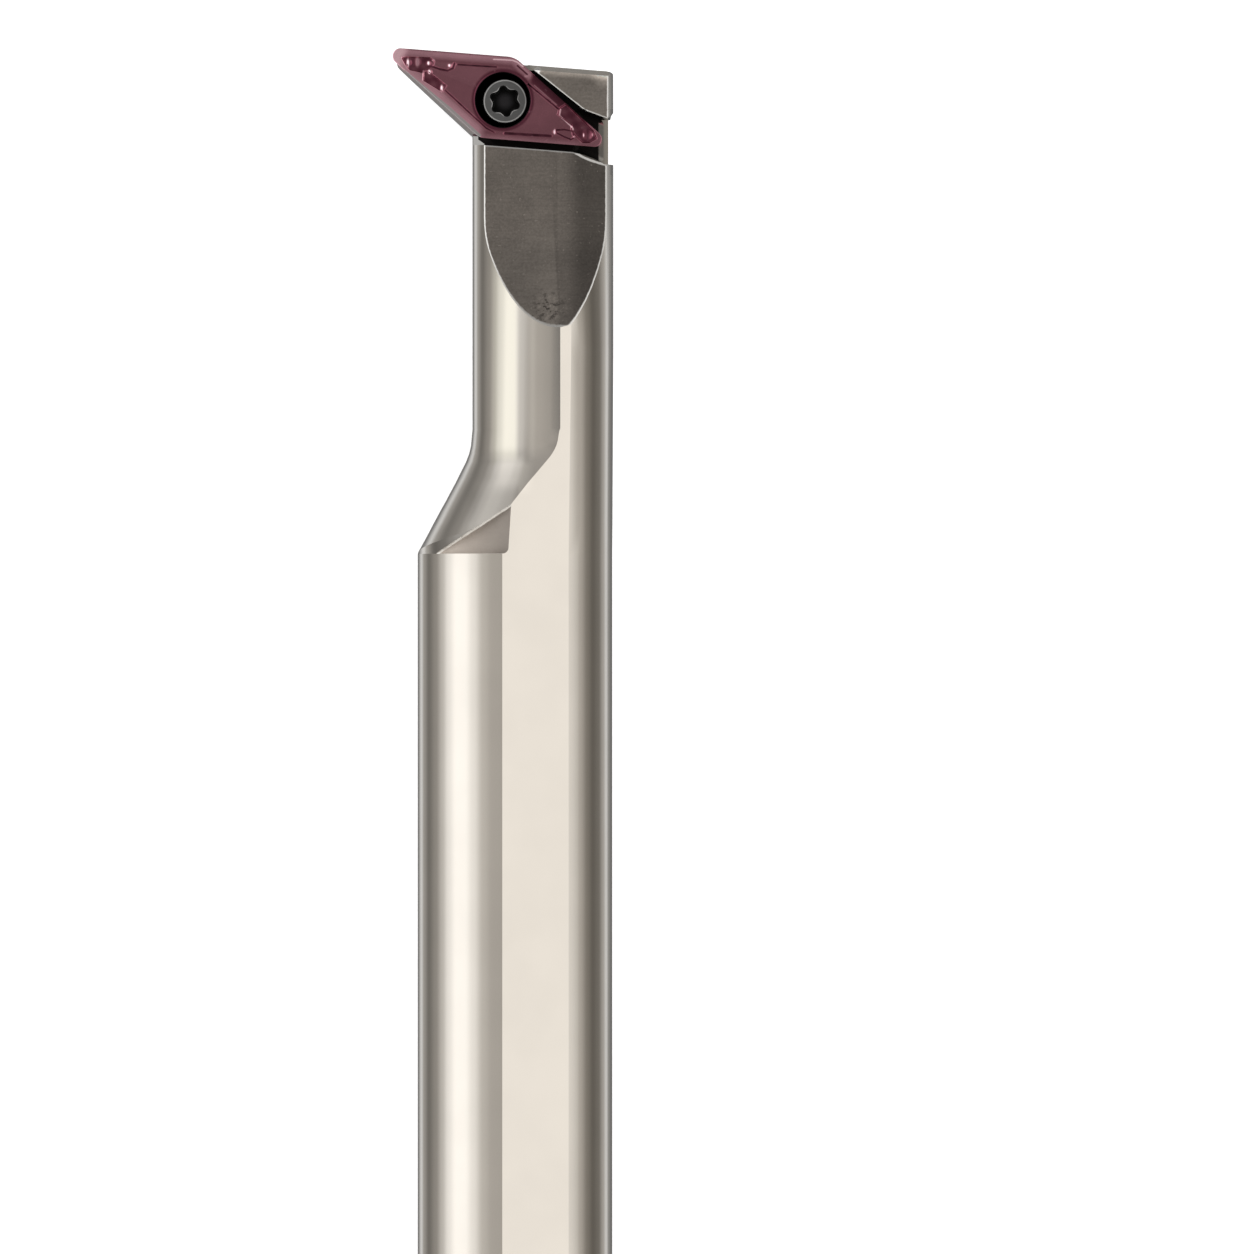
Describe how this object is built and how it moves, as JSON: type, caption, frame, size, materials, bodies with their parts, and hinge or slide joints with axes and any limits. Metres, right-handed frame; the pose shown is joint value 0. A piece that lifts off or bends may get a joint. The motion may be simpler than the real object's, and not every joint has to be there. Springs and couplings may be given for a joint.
{
  "type": "boring bar",
  "caption": "Round boring bar with clamping flats, an offset neck and a screw-clamped rhombic insert on its nose for boring and profiling.",
  "frame": {"origin": "middle of the tail face, on the shank's axis", "axes": "+Y along the bar towards the head, +Z out of the upper clamping flat, +X away from the cutting tip"},
  "size_m": [0.0184, 0.15, 0.015],
  "materials": {
    "bar_steel": "nickel plated, softly polished, the milled head dull grey",
    "coated_carbide": "smooth mauve coating on carbide, satin",
    "blackened_steel": "black oxide, satin"
  },
  "bodies": {
    "root": {"bar_body": "bar_steel", "cutting_insert": "coated_carbide", "clamp_screw": "blackened_steel"}
  },
  "joints": []
}
